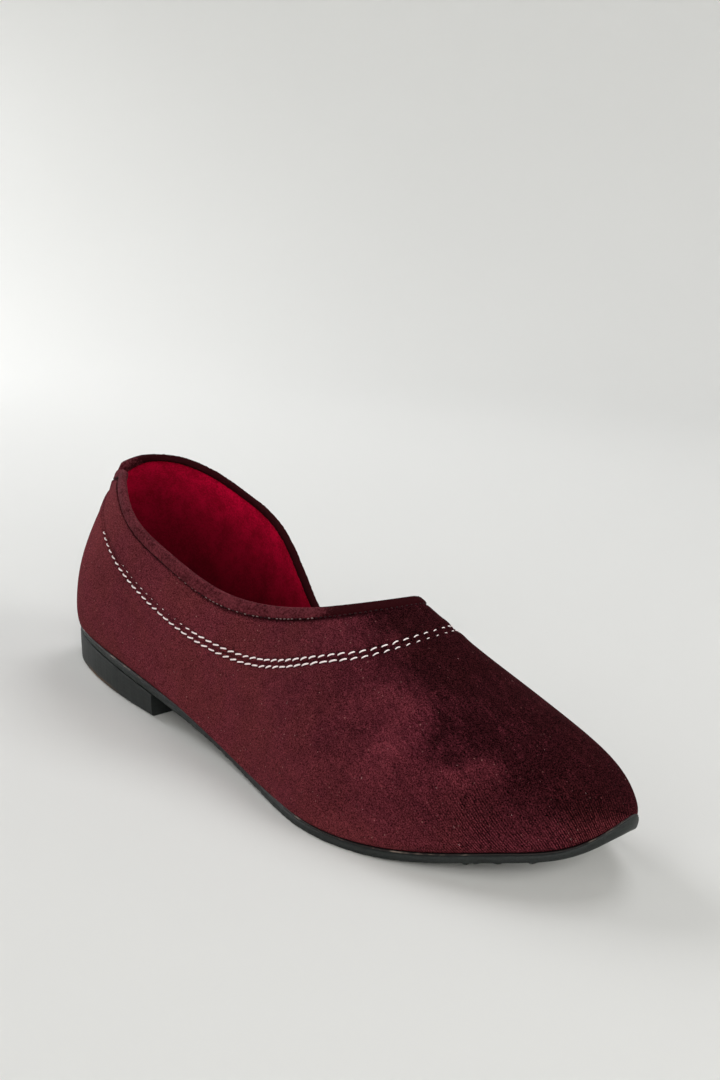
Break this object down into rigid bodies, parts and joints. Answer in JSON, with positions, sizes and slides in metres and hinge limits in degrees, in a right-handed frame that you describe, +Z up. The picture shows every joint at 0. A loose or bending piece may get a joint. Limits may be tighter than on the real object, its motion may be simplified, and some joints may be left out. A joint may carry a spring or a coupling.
{
  "type": "loafer",
  "caption": "Right closed slip-on loafer with a tall velvet upper, a bound open collar, a thin rubber outsole that curls up at the toe, and a block heel.",
  "frame": {"origin": "on the floor plane, under the middle of the whole shoe's bounding box", "axes": "+X towards the toe, +Y towards the inner (big-toe) side of the foot, +Z up from the floor"},
  "size_m": [0.2868, 0.0964, 0.0926],
  "materials": {
    "velvet": "short-pile velvet",
    "binding_velvet": "folded velvet tape",
    "lining": "soft woven lining",
    "sole_rubber": "matt",
    "heel_rubber": "matt"
  },
  "bodies": {
    "root": {"upper": "velvet", "collar_binding": "binding_velvet", "insole": "lining", "outsole": "sole_rubber", "heel_block": "heel_rubber"}
  },
  "joints": []
}
